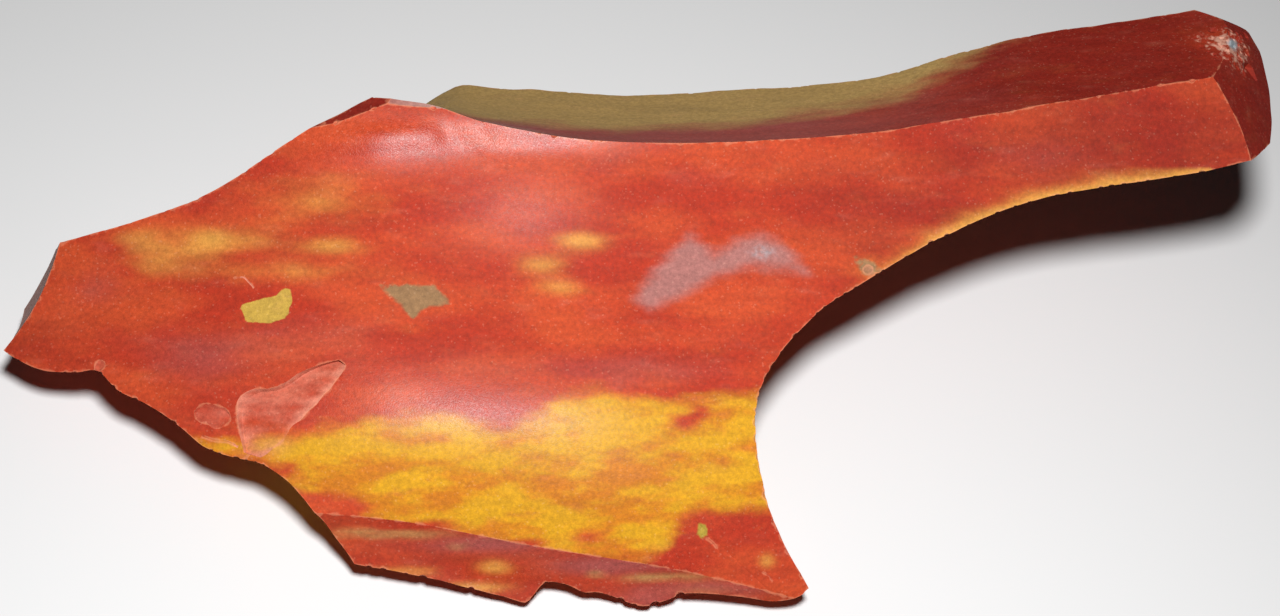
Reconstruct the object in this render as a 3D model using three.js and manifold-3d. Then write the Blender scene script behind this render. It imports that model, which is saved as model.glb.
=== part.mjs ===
// A broken chunk of mookaite jasper, about 125 mm long: a broad body with a sloping main face,
// and a bar-like arm that runs out to the right above a deep hollow bay.
//
// The stone is one piece. It is made as the real one was: a blank block from which one flake after
// another is struck off. Each flake leaves a curved scar, and the scars meet in sharp ridges.
// The scars are given in the frame of the main face: x runs along the stone, y up the face and z out
// of it, all in millimetres. At the end the face is leaned back and the stone set down on its base.

import * as THREE from "three";
import { mergeVertices } from "three/addons/utils/BufferGeometryUtils.js";
import Module from "manifold-3d";

const wasm = await Module();
wasm.setup();

// Driving dimensions
const BLANK = [138, 76, 60];
const BLANK_FRONT = 10;
const LEAN_BACK = THREE.MathUtils.degToRad(37);
const ARM_UP = THREE.MathUtils.degToRad(5.8);
const BASE_DROP = 17.8;
const REACH = 60;
const WALL_FRONT = 14;
const WALL_BACK = 52;
const GRID = 2.6;
const UNDER_GRID = 5;
const FLAT_GRID = 40;
const PIT_COUNT = 12;

const JASPER_RED = new THREE.Color("#b8402a");

// A smooth curve y(x) through a few points, carried straight on past both ends.
function through(points) {
  const slope = points.map((_, i) => {
    const [x0, y0] = points[Math.max(i - 1, 0)];
    const [x1, y1] = points[Math.min(i + 1, points.length - 1)];
    return (y1 - y0) / (x1 - x0);
  });
  return (x) => {
    const last = points.length - 1;
    if (x <= points[0][0]) return points[0][1] + slope[0] * (x - points[0][0]);
    if (x >= points[last][0]) return points[last][1] + slope[last] * (x - points[last][0]);
    const i = points.findIndex((p) => p[0] > x) - 1;
    const span = points[i + 1][0] - points[i][0];
    const t = (x - points[i][0]) / span;
    const rise = t * t * (3 - 2 * t);
    return (
      points[i][1] * (1 - rise) +
      points[i + 1][1] * rise +
      span * t * (1 - t) * (slope[i] * (1 - t) - slope[i + 1] * t)
    );
  };
}

// A low round swell, or a hollow where its height is negative.
function swell(x, y, centre, size, height) {
  const across = (x - centre[0]) / size[0];
  const up = (y - centre[1]) / size[1];
  return height * Math.exp(-across * across - up * up);
}

function solidFrom(geometry) {
  const bare = geometry.index ? geometry.toNonIndexed() : geometry.clone();
  bare.deleteAttribute("normal");
  bare.deleteAttribute("uv");
  const merged = mergeVertices(bare, 1e-4);
  return new wasm.Manifold(
    new wasm.Mesh({
      numProp: 3,
      vertProperties: merged.attributes.position.array,
      triVerts: merged.index.array,
    }),
  );
}

// The space between two height fields over a rectangle, as a closed block.
function blockBetween(xRange, yRange, lower, upper, grid = GRID) {
  const width = xRange[1] - xRange[0];
  const depth = yRange[1] - yRange[0];
  const block = new THREE.BoxGeometry(
    width, depth, 1, Math.ceil(width / grid), Math.ceil(depth / grid), 1,
  );
  block.translate((xRange[0] + xRange[1]) / 2, (yRange[0] + yRange[1]) / 2, 0);
  const position = block.attributes.position;
  for (let i = 0; i < position.count; i++) {
    const x = position.getX(i);
    const y = position.getY(i);
    position.setZ(i, position.getZ(i) < 0 ? lower(x, y) : upper(x, y));
  }
  return block;
}

// A scar struck square to "facing". It is hollow where "hollow" is positive, its radius in millimetres,
// and swells outwards where it is negative.
function facet({ at, facing, hollow, size }) {
  const bowl = (x, y) => (x * x + y * y) / (2 * hollow);
  const block = blockBetween([-size, size], [-size, size], bowl, () => REACH, size / 5);
  const normal = new THREE.Vector3(...facing).normalize();
  const turn = new THREE.Quaternion().setFromUnitVectors(new THREE.Vector3(0, 0, 1), normal);
  block.applyQuaternion(turn);
  block.translate(...at);
  return solidFrom(block);
}

// A wall: all that lies outside a curved edge is broken away. The wall shifts sideways by "lean" for
// each millimetre that it goes back from the face, and curves by "curl" on top of that.
function wall({ edge, outside, lean, curl = [0, 0], steps = 8, samples = 3 }) {
  const curve = new THREE.SplineCurve(edge.map(([x, y]) => new THREE.Vector2(x, y)));
  const drawn = curve.getPoints((edge.length - 1) * samples);
  const away = new THREE.Vector2(...outside);
  const first = drawn[0].clone().add(away);
  const last = drawn.at(-1).clone().add(away);
  const depth = WALL_FRONT + WALL_BACK;
  const cut = new THREE.ExtrudeGeometry(new THREE.Shape([...drawn, last, first]), {
    depth,
    steps,
    bevelEnabled: false,
  });
  const position = cut.attributes.position;
  for (let i = 0; i < position.count; i++) {
    const back = WALL_BACK - position.getZ(i);
    const behind = Math.max(back, 0) ** 2;
    position.setXYZ(
      i,
      position.getX(i) + lean[0] * back + curl[0] * behind,
      position.getY(i) + lean[1] * back + curl[1] * behind,
      -back,
    );
  }
  return solidFrom(cut);
}

// The main face: up the face it rolls over a low crown and hollows out above it, and along the stone
// it falls away to both ends.
const faceUp = through([
  [-34, -0.9], [-26, 2.05], [-19, 3.25], [-13, 3.2], [-8, 2.4], [-2, 0.7], [4, -0.65],
  [10, -1.42], [16, -1.75], [30, -2],
]);
const faceAlong = through([
  [-66, -3.8], [-50, -0.8], [-36, 1.5], [-26, 2.2], [-18, 1.6], [-12, 1], [0, 0.2], [14, -0.7],
  [30, -1.8], [46, -3], [64, -4.4],
]);
function mainFace(x, y) {
  return faceUp(y) + faceAlong(x) + swell(x, y, [-26, 14], [12, 5], 0.8);
}

// The lower strip is a narrow trough that drops from a crease along the foot of the main face.
const TROUGH_WIDTH = 5;
const TROUGH_RADIUS = 8;
const crease = through([
  [-34, -18.6], [-22.2, -19.7], [-11.1, -21.9], [3.7, -24.6], [11.3, -26.5], [18, -28.4],
]);
function lowerStrip(x, y) {
  const below = crease(x) - y;
  const drop = ((below - TROUGH_WIDTH) ** 2 - TROUGH_WIDTH ** 2) / (2 * TROUGH_RADIUS);
  return mainFace(x, crease(x)) + drop;
}

// The back face falls away behind the ridge. Its height is measured up the face, over x and depth.
const BACK_DEPTH = 19;
const ridge = through([
  [-30, 22], [-24.4, 20], [-19.7, 19.3], [-15.2, 17.7], [-7.6, 16.3], [0, 15.6], [10.5, 15.5],
  [22.1, 16], [32.9, 16.7], [44.7, 17.9], [55.3, 18.8], [66, 19.7],
]);
const backLean = through([
  [-20.4, 0.154], [-17.7, 0.235], [-8.3, 0.312], [0, 0.336], [9.4, 0.375], [20.7, 0.415],
  [26.9, 0.484], [32, 0.579], [38.1, 0.656], [47.3, 0.7], [56.9, 0.742],
]);
const backHollow = through([
  [-24, 0.018], [-10, 0.011], [20, 0.008], [60, 0.006],
]);
function backFace(x, depth) {
  return ridge(x) + backLean(x) * depth - backHollow(x) * depth * (BACK_DEPTH - depth);
}

// The rear is the long break that runs from the back edge under the arm and down to the base.
const rearDepth = through([
  [-30, -20.6], [-22, -20], [0, -19.5], [20, -18.5], [38, -17], [58, -16],
]);
const rearTilt = through([
  [-20, 0.22], [10, 0.16], [50, 0.02],
]);
function rear(x, y) {
  const hollows = swell(x, y, [-10, 12], [20, 7], 1.6) + swell(x, y, [40, 22], [16, 6], 0.9);
  return rearDepth(x) + rearTilt(x) * (y - 22) + hollows;
}

// The underside, as heights above the table: it rises from the base on every side.
function underLeft(x, y) {
  const rise = 0.04 * (-24 - x) + 0.0005 * Math.max(-24 - x, 0) ** 2 + 0.03 * (10 - y);
  return rise + swell(x, y, [-42, 6], [10, 10], 0.9);
}
function underFront(x, y) {
  return 0.06 * (-1 - y) + 0.01 * (x + 10) + swell(x, y, [-12, -14], [14, 6], 0.4);
}
function underRight(x, y) {
  return 0.26 * (x - 4) + 0.09 * (y - 10) + swell(x, y, [15, 12], [7, 8], 0.9);
}
function underBack(x, y) {
  return 0.3 * (y - 14) - 0.05 * (x + 10) + swell(x, y, [-20, 20], [12, 6], 0.6);
}

const FLANK_EDGE = [
  [-64, 3.6], [-59.4, 5.4], [-56.8, 6.2], [-53, 7.1], [-47.6, 8.6], [-42.4, 10.4], [-38.2, 12.6],
  [-34, 15.2], [-31, 17], [-27.4, 19.1], [-24.4, 20.9], [-21, 22.9], [-13, 27],
];
const LEFT_END_EDGE = [
  [-44, 34], [-55, 12], [-57.2, 8.2], [-59, 5.7], [-61.2, 2.9], [-63.2, -0.2], [-64.4, -1.8],
  [-64.2, -3.4], [-62.6, -6], [-58, -14], [-48, -40],
];
const LOWER_LEFT_EDGE = [
  [-68, 1.4], [-64.4, -2.4], [-61.4, -4.6], [-59.4, -5.4], [-56.6, -6], [-53.4, -5.9], [-51, -5.6],
  [-48.4, -7.2], [-45.2, -8.2], [-42, -9.8], [-39.2, -11.6], [-36.2, -12.4], [-33.8, -12.8],
  [-31.4, -14], [-30, -15.2], [-28, -17.7], [-26.8, -20.2], [-25.2, -23], [-22, -29],
];
const BOTTOM_EDGE = [
  [-34, -18.2], [-26.2, -20.4], [-22, -21.4], [-16.4, -23.4], [-12.8, -24.8], [-10.6, -25.7],
  [-9.7, -25], [-8.6, -23.8], [-6.8, -24], [-5, -25], [-3.4, -25.2], [0.2, -27], [2.6, -26.6],
  [4.8, -25.8], [9.6, -26.4], [12.8, -27.2], [15.2, -26.4], [16.4, -25], [24, -17],
];
const BAY_EDGE = [
  [69, 13.2], [61.8, 12.2], [55.8, 11.1], [50.8, 10.5], [45.8, 9.9], [40.6, 9.2], [35.6, 8], [30.6, 6.1],
  [26.4, 4.3], [22.4, 2.3], [18.2, 0], [15, -2.4], [12.6, -4.6], [11.1, -6.6], [10.4, -8.7],
  [10.2, -11.2], [10.5, -14], [11.1, -16.8], [12.2, -19.6], [13.4, -22], [14.6, -24.2],
  [17.4, -28.8],
];

// The small facets, each struck square to "facing".
const FACETS = {
  peak: { at: [-27.4, 18.2, 0.6], facing: [-0.21, 0.69, 0.69], hollow: 300, size: 12 },
  peakShoulder: { at: [-20.5, 18.65, 0.6], facing: [0.1, 0.59, 0.8], hollow: 300, size: 9 },
  leftEnd: { at: [-57.85, 0.85, -2.7], facing: [-0.868, 0.443, 0.225], hollow: 25, size: 14 },
  armEnd: { at: [61.3, 22.3, -10.6], facing: [0.685, 0.347, 0.641], hollow: -60, size: 22 },
  armCorner: { at: [60.15, 26.7, -11.85], facing: [0.512, 0.631, 0.582], hollow: -60, size: 16 },
  armTip: { at: [62.9, 18.9, -13.5], facing: [0.96, -0.22, -0.15], hollow: -40, size: 10 },
  armEndTop: { at: [58.3, 30.1, -15.9], facing: [0.31, 0.93, 0.2], hollow: -30, size: 9 },
  bottomEdge: { at: [0.6, -27.6, 1.54], facing: [0, -0.5, 0.86], hollow: 12, size: 5 },
};

// The shallow chips: where each lies on the face, half its length and width, its turn in degrees and
// its depth.
const CHIPS = [
  { at: [-31.4, -8.7], half: [6.4, 2.8], turn: 42, depth: 0.7 },
  { at: [-35.2, -12.1], half: [2.8, 1.7], turn: -25, depth: 0.45 },
  { at: [-38, -10.1], half: [2.3, 1.4], turn: 10, depth: 0.4 },
  { at: [-51.2, -5.6], half: [0.9, 0.8], turn: 0, depth: 0.3 },
  { at: [21.3, 3.6], half: [1.6, 0.8], turn: 35, depth: 0.4 },
  { at: [12, -15], half: [5.6, 1.5], turn: -80, depth: 0.4 },
];

// A chip is the cap of a flattened ball, taken off the surface.
function chip({ at, half, turn, depth }) {
  const flatness = 5;
  const spread = 1 / Math.sqrt(1 - (1 - 1 / flatness) ** 2);
  const tool = new THREE.SphereGeometry(1, 20, 14);
  tool.rotateX(Math.PI / 2);
  tool.scale(half[0] * spread, half[1] * spread, depth * flatness);
  tool.rotateZ(THREE.MathUtils.degToRad(turn));
  tool.translate(at[0], at[1], mainFace(...at) + depth * (flatness - 1));
  return solidFrom(tool);
}

// The crushed corner at the end of the arm: small pits scattered by a fixed rule.
const CRUSH_FROM = [55.8, 22.9, -6.2];
const CRUSH_TO = [60.6, 28.2, -13.6];
function crushedPits(count) {
  const start = new THREE.Vector3(...CRUSH_FROM);
  const end = new THREE.Vector3(...CRUSH_TO);
  return Array.from({ length: count }, (_, i) => {
    const along = (i + 0.5) / count;
    const pit = new THREE.IcosahedronGeometry(1.1 + 0.6 * Math.sin(i * 2.4) ** 2, 1);
    pit.scale(1, 0.8 + 0.3 * Math.cos(i * 1.7), 1);
    const place = start.clone().lerp(end, along);
    pit.translate(place.x + 1.3 * Math.sin(i * 2.9), place.y + 1.6 * Math.cos(i * 2.1), place.z);
    return solidFrom(pit);
  });
}

// Every scar reaches well past the stone, over these ranges.
const ALONG = [-80, 80];
const UP = [-40, 40];
const OVER_TABLE = [-60, 60];
const STRIP_UP = [UP[0], -8];
const BACK_FACE_DEPTH = [-20, 40];

function carved() {
  const blank = new THREE.BoxGeometry(...BLANK);
  blank.translate(0, 0, BLANK_FRONT - BLANK[2] / 2);
  const toTable = new THREE.Matrix4()
    .makeRotationX(-LEAN_BACK)
    .multiply(new THREE.Matrix4().makeRotationY(ARM_UP))
    .multiply(new THREE.Matrix4().makeTranslation(0, 0, -BASE_DROP));
  const under = (height, grid = UNDER_GRID) =>
    solidFrom(blockBetween(ALONG, OVER_TABLE, () => -REACH, height, grid).applyMatrix4(toTable));
  const front = (height, up = UP) => solidFrom(blockBetween(ALONG, up, height, () => REACH));
  const back = blockBetween(ALONG, BACK_FACE_DEPTH, backFace, () => REACH);
  back.rotateX(-Math.PI / 2);

  const cuts = [
    front(mainFace),
    front(lowerStrip, STRIP_UP),
    solidFrom(back),
    solidFrom(blockBetween(ALONG, OVER_TABLE, () => -REACH, rear)),
    under(() => 0, FLAT_GRID),
    under(underLeft),
    under(underFront),
    under(underRight),
    under(underBack),
    wall({ edge: FLANK_EDGE, outside: [-60, 60], lean: [0.38, 0.05], curl: [-0.011, 0] }),
    wall({ edge: LEFT_END_EDGE, outside: [-90, 0], lean: [0.25, 0] }),
    wall({ edge: LOWER_LEFT_EDGE, outside: [-30, -60], lean: [0.3, 0.35] }),
    wall({ edge: BOTTOM_EDGE, outside: [0, -60], lean: [0.1, 0.9] }),
    wall({ edge: BAY_EDGE, outside: [60, -90], lean: [-0.25, 0.39] }),
    ...Object.values(FACETS).map(facet),
    ...CHIPS.map(chip),
    ...crushedPits(PIT_COUNT),
  ];
  return cuts.reduce((stone, cut) => stone.subtract(cut), solidFrom(blank));
}

function meshOf(solid) {
  const { vertProperties, triVerts } = solid.getMesh();
  const geometry = new THREE.BufferGeometry();
  geometry.setAttribute("position", new THREE.BufferAttribute(vertProperties, 3));
  geometry.setIndex(new THREE.BufferAttribute(triVerts, 1));
  geometry.computeVertexNormals();
  return geometry;
}

// Lean the face back, tip the arm up a little, then set the stone down with the middle of its box over
// the origin.
const stone = new THREE.Mesh(
  meshOf(carved()),
  new THREE.MeshStandardMaterial({ color: JASPER_RED, roughness: 0.45, metalness: 0 }),
);
stone.rotation.set(LEAN_BACK, -ARM_UP, 0, "YXZ");
stone.position.z = BASE_DROP;
const middle = new THREE.Box3().setFromObject(stone, true).getCenter(new THREE.Vector3());
stone.position.x = -middle.x;
stone.position.y = -middle.y;
stone.name = "jasper_stone";

const part = new THREE.Group();
part.add(stone);

export default part;
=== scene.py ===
# %% [markdown]
# # A broken chunk of mookaite jasper
#
# Mookaite is a fine, silica-hard rock that breaks like thick glass: every blow takes off a flake and
# leaves a smooth, slightly hollow scar. This chunk is one stone, about 123 mm long. It has a broad
# main face, a back face behind a sharp ridge, and an arm that runs out to the right over a deep bay.
# The lesson strikes the same flakes off a blank block, each by a Boolean with a curved sheet, and then
# stains the stone with procedural colours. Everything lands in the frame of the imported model.

from bisect import bisect_right
from math import ceil, exp, pi, radians, sin
from random import Random

import bpy
import numpy as np
from mathutils import Matrix, Vector, kdtree, noise


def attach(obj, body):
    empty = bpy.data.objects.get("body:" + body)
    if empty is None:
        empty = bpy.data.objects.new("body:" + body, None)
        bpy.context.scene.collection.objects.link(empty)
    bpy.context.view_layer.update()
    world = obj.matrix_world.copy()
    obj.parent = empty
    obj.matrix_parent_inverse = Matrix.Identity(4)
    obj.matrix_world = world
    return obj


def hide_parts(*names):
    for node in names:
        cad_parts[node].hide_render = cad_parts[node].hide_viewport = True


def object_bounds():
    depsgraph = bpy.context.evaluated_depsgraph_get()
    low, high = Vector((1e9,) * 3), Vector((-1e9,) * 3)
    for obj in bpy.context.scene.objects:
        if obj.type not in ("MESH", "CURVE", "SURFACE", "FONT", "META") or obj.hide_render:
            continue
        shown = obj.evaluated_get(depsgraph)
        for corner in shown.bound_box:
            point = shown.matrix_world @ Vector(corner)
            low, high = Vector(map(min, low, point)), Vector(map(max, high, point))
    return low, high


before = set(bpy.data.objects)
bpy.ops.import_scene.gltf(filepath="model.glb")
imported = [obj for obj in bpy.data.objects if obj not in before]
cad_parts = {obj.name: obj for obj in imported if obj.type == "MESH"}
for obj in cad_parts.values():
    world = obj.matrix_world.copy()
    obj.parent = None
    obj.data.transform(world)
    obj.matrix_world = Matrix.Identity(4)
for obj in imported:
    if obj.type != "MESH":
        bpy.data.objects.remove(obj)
NODE = "jasper_stone"
MM = 0.001
cad_low, cad_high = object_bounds()
print("CAD box in mm:", [round(side / MM, 2) for side in cad_high - cad_low])

# %% [markdown]
# ## Curves and swells
#
# A broken surface never runs quite straight, yet a few measured points describe it well. One helper
# runs a smooth curve through such points, and a second adds a low round swell. With these two the
# whole shape of the stone can be written down in a short list of real sizes, in millimetres.
# The stone is described in the frame of its main face: x runs along it, y up it and z out of it.

# %% Curve helpers
def through(points):
    """A smooth curve y(x) through a few points, carried straight on past both ends."""
    last = len(points) - 1
    starts = [x for x, _ in points]
    slope = []
    for i in range(last + 1):
        x0, y0 = points[max(i - 1, 0)]
        x1, y1 = points[min(i + 1, last)]
        slope.append((y1 - y0) / (x1 - x0))

    def curve(x):
        if x <= starts[0]:
            return points[0][1] + slope[0] * (x - starts[0])
        if x >= starts[last]:
            return points[last][1] + slope[last] * (x - starts[last])
        i = bisect_right(starts, x) - 1
        span = starts[i + 1] - starts[i]
        t = (x - starts[i]) / span
        rise = t * t * (3 - 2 * t)
        bend = span * t * (1 - t) * (slope[i] * (1 - t) - slope[i + 1] * t)
        return points[i][1] * (1 - rise) + points[i + 1][1] * rise + bend

    return curve


def swell(x, y, centre, size, height):
    across = (x - centre[0]) / size[0]
    up = (y - centre[1]) / size[1]
    return height * exp(-across * across - up * up)


# %% [markdown]
# ## The lie of the big scars
#
# These are the broad surfaces of the stone as it was measured: the main face rolls over a low crown
# and hollows out above it, a narrow trough runs along its foot, the back face falls away behind the
# ridge, and the rear and the underside are long plain breaks. The values are those of the solid
# model, so the finished stone fills the same space.

# %% Surfaces of the big scars
LEAN_BACK = radians(37)
ARM_UP = radians(5.8)
BASE_DROP = 17.8
TROUGH_WIDTH = 5
TROUGH_RADIUS = 8
BACK_DEPTH = 19

face_up = through([
    (-34, -0.9), (-26, 2.05), (-19, 3.25), (-13, 3.2), (-8, 2.4), (-2, 0.7), (4, -0.65),
    (10, -1.42), (16, -1.75), (30, -2),
])
face_along = through([
    (-66, -3.8), (-50, -0.8), (-36, 1.5), (-26, 2.2), (-18, 1.6), (-12, 1), (0, 0.2), (14, -0.7),
    (30, -1.8), (46, -3), (64, -4.4),
])
crease = through([
    (-34, -18.6), (-22.2, -19.7), (-11.1, -21.9), (3.7, -24.6), (11.3, -26.5), (18, -28.4),
])
ridge = through([
    (-30, 22), (-24.4, 20), (-19.7, 19.3), (-15.2, 17.7), (-7.6, 16.3), (0, 15.6), (10.5, 15.5),
    (22.1, 16), (32.9, 16.7), (44.7, 17.9), (55.3, 18.8), (66, 19.7),
])
back_lean = through([
    (-20.4, 0.154), (-17.7, 0.235), (-8.3, 0.312), (0, 0.336), (9.4, 0.375), (20.7, 0.415),
    (26.9, 0.484), (32, 0.579), (38.1, 0.656), (47.3, 0.7), (56.9, 0.742),
])
back_hollow = through([(-24, 0.018), (-10, 0.011), (20, 0.008), (60, 0.006)])
rear_depth = through([(-30, -20.6), (-22, -20), (0, -19.5), (20, -18.5), (38, -17), (58, -16)])
rear_tilt = through([(-20, 0.22), (10, 0.16), (50, 0.02)])


def main_face(x, y):
    return face_up(y) + face_along(x) + swell(x, y, (-26, 14), (12, 5), 0.8)


def lower_strip(x, y):
    below = crease(x) - y
    drop = ((below - TROUGH_WIDTH) ** 2 - TROUGH_WIDTH ** 2) / (2 * TROUGH_RADIUS)
    return main_face(x, crease(x)) + drop


def back_face(x, depth):
    hollow = back_hollow(x) * depth * (BACK_DEPTH - depth)
    return ridge(x) + back_lean(x) * depth - hollow


def rear(x, y):
    hollows = swell(x, y, (-10, 12), (20, 7), 1.6) + swell(x, y, (40, 22), (16, 6), 0.9)
    return rear_depth(x) + rear_tilt(x) * (y - 22) + hollows


def under_left(x, y):
    rise = 0.04 * (-24 - x) + 0.0005 * max(-24 - x, 0) ** 2 + 0.03 * (10 - y)
    return rise + swell(x, y, (-42, 6), (10, 10), 0.9)


def under_front(x, y):
    return 0.06 * (-1 - y) + 0.01 * (x + 10) + swell(x, y, (-12, -14), (14, 6), 0.4)


def under_right(x, y):
    return 0.26 * (x - 4) + 0.09 * (y - 10) + swell(x, y, (15, 12), (7, 8), 0.9)


def under_back(x, y):
    return 0.3 * (y - 14) - 0.05 * (x + 10) + swell(x, y, (-20, 20), (12, 6), 0.6)


# %% [markdown]
# ## One tool for every scar
#
# A flake scar is a sheet with stone on one side and air on the other. So each one starts as a grid
# primitive, has its points laid on the surface, gets the low waves and the fine unevenness that a
# fracture leaves, and is extruded away from the stone into a closed block. The block is then taken
# off the stone with a Boolean modifier, which leaves a knife-sharp ridge where two scars meet, just
# as the real break does. Sculpting the ridges by hand would never be as crisp. Each block carries a
# number on its faces, so that the stone still knows afterwards which scar a face belongs to.

# %% Sheet, extrude and cut
GRID = 0.45
REACH = 60
SCAR = "scar"


def deselect():
    bpy.ops.object.select_all(action="DESELECT")


def lay_sheet(name, columns, rows, place):
    """A grid whose points are carried to place(u, v), with u and v from 0 to 1, in mm."""
    deselect()
    bpy.ops.mesh.primitive_grid_add(x_subdivisions=columns, y_subdivisions=rows, size=2)
    sheet = bpy.context.object
    sheet.name = name
    for vertex in sheet.data.vertices:
        vertex.co = place((vertex.co.x + 1) / 2, (vertex.co.y + 1) / 2)
    return sheet


def roughen(sheet, relief):
    """Moves every point of the sheet along its own normal."""
    sheet.data.update()
    normals = [vertex.normal.copy() for vertex in sheet.data.vertices]
    for vertex, normal in zip(sheet.data.vertices, normals):
        vertex.co += normal * relief(vertex.co)


def close_block(sheet, away, number):
    """Extrudes the sheet away from the stone, so that it is a closed block, and numbers its faces."""
    deselect()
    sheet.select_set(True)
    bpy.context.view_layer.objects.active = sheet
    bpy.ops.object.mode_set(mode="EDIT")
    bpy.ops.mesh.select_all(action="SELECT")
    bpy.ops.mesh.extrude_region_move(TRANSFORM_OT_translate={"value": away})
    bpy.ops.mesh.select_all(action="SELECT")
    bpy.ops.mesh.normals_make_consistent(inside=False)
    bpy.ops.object.mode_set(mode="OBJECT")
    number_faces(sheet, number)
    return sheet


def number_faces(block, number):
    numbers = block.data.attributes.new(SCAR, "INT", "FACE")
    numbers.data.foreach_set("value", [number] * len(block.data.polygons))


def strike_off(stone, block):
    """Takes the block off the stone and removes the block."""
    deselect()
    stone.select_set(True)
    bpy.context.view_layer.objects.active = stone
    bite = stone.modifiers.new(block.name, "BOOLEAN")
    bite.operation = "DIFFERENCE"
    bite.solver = "MANIFOLD"
    bite.object = block
    bpy.ops.object.modifier_apply(modifier=bite.name)
    bpy.data.objects.remove(block, do_unlink=True)


# %% [markdown]
# ## The feel of a fracture
#
# A fresh break in such a fine rock is satin-smooth, but it isn't a perfect sheet: long low waves
# spread over it, and finer ones ripple away from the point that was struck. Both are real relief,
# from a few hundredths of a millimetre on the main face to a few tenths on the underside, so they are
# modelled in the mesh and not faked in the shading. Smooth noise is used for the waves, three sizes of
# it at a time, and a damped sine of the distance for the ripples.

# %% Waves and ripples
# Each wave has its length and height in mm, and a seed that shifts its noise.
SATIN_WAVES = [(11, 0.09, 0), (3.5, 0.022, 5), (1.3, 0.008, 9)]
PLAIN_WAVES = [(9, 0.16, 3), (3, 0.07, 7), (1.2, 0.03, 1)]
COARSE_WAVES = [(6, 0.25, 2), (2.2, 0.12, 8), (1, 0.05, 4)]
WOBBLE = 0.35
WOBBLE_LENGTH = 7


def wave(at, length, height, seed):
    return height * noise.noise(Vector(at) / length + Vector((seed, 0, 0)))


def ripples(at, struck, spacing, height, fade):
    away = (Vector(at) - Vector(struck)).length
    wobble = WOBBLE * noise.noise(Vector(at) / WOBBLE_LENGTH)
    return height * sin(2 * pi * (away / spacing + wobble)) * exp(-away / fade)


def satin(at):
    return sum(wave(at, *one) for one in SATIN_WAVES)


def plain_break(at):
    return sum(wave(at, *one) for one in PLAIN_WAVES)


def coarse_break(at):
    return sum(wave(at, *one) for one in COARSE_WAVES)


# %% [markdown]
# ## The blank and the broad scars
#
# The blank is a plain cube primitive scaled to a block, a little larger than the stone. Five kinds of
# broad scar bring it down: the main face, the strip along its foot, the back face, the rear and the
# underside. All that shows is cut on a fine grid; the underside is hardly seen and takes a coarser one.
# For the underside the stone is first cut level, and four hollow breaks then leave only a small flat
# spot in the middle, on which it rests.

# %% Cut the broad scars
MAIN, STRIP, BACK, REAR, UNDER, FLANK, LEFT_END, LOWER_LEFT, BOTTOM, BAY = range(1, 11)
PEAK, LEFT_FACET, ARM_END, ARM_TOP, FOOT_FACET, CHIP, NICK, CRUSHED = range(11, 19)
BLANK = (131, 64, 46)
BLANK_MIDDLE = (-0.5, 1, -15)
ALONG = (-68, 66)
UNDER_ALONG = (-72, 72)
UNDER_ACROSS = (-44, 52)
UNDER_GRID = 1.0
BASE_GRID = 30
table_to_face = (
    Matrix.Rotation(-LEAN_BACK, 4, "X")
    @ Matrix.Rotation(ARM_UP, 4, "Y")
    @ Matrix.Translation((0, 0, -BASE_DROP))
)


def between(span, share):
    return span[0] + (span[1] - span[0]) * share


def steps(span, grid):
    return ceil((span[1] - span[0]) / grid)


def broad_scar(name, number, height, along, up, relief, out=REACH):
    """A scar whose height above the plane of the face is known, with the air on its out side."""
    def place(u, v):
        x, y = between(along, u), between(up, v)
        return Vector((x, y, height(x, y)))

    sheet = lay_sheet(name, steps(along, GRID), steps(up, GRID), place)
    roughen(sheet, relief)
    return close_block(sheet, (0, 0, out), number)


def back_scar(name, number, up_face, along, depths, relief):
    """A scar whose height up the face is known, for each depth behind the face."""
    def place(u, v):
        x, depth = between(along, u), between(depths, v)
        return Vector((x, up_face(x, depth), -depth))

    sheet = lay_sheet(name, steps(along, GRID), steps(depths, GRID), place)
    roughen(sheet, relief)
    return close_block(sheet, (0, REACH, 0), number)


def under_scar(name, height, relief, grid=UNDER_GRID):
    """A scar whose height above the table is known."""
    def place(u, v):
        x, y = between(UNDER_ALONG, u), between(UNDER_ACROSS, v)
        return table_to_face @ Vector((x, y, height(x, y)))

    sheet = lay_sheet(name, steps(UNDER_ALONG, grid), steps(UNDER_ACROSS, grid), place)
    roughen(sheet, relief)
    down = table_to_face.to_3x3() @ Vector((0, 0, -REACH))
    return close_block(sheet, down, UNDER)


deselect()
bpy.ops.mesh.primitive_cube_add(size=1, location=BLANK_MIDDLE, scale=BLANK)
stone = bpy.context.object
stone.name = "jasper"
bpy.ops.object.transform_apply(location=True, rotation=True, scale=True)
number_faces(stone, 0)

PEAK_STRUCK = (-27, 24, 0)
RIGHT_STEP = 0.22
LEFT_STEP = 0.16
STEP_TOP = 18.6
STEP_SLANT = 0.8


def rise(value, start, end):
    share = min(max((value - start) / (end - start), 0), 1)
    return share * share * (3 - 2 * share)


def lobes(at):
    """Two low steps below the ridge, where the flake of the main face ran out."""
    slant = (STEP_TOP - at.y) * STEP_SLANT
    right = rise(at.x, -20 + slant, -16.6 + slant) * (1 - rise(at.x, 0, 14))
    left = rise(at.x, -34, -27) * (1 - rise(at.x, -20, -18))
    swelling = exp(-(((at.y - 16.3) / 1.2) ** 2))
    return RIGHT_STEP * right * rise(at.y, 12.6, 15.1) + LEFT_STEP * left * swelling


def main_relief(at):
    return satin(at) + ripples(at, PEAK_STRUCK, spacing=4.2, height=0.03, fade=14) + lobes(at)


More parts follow.
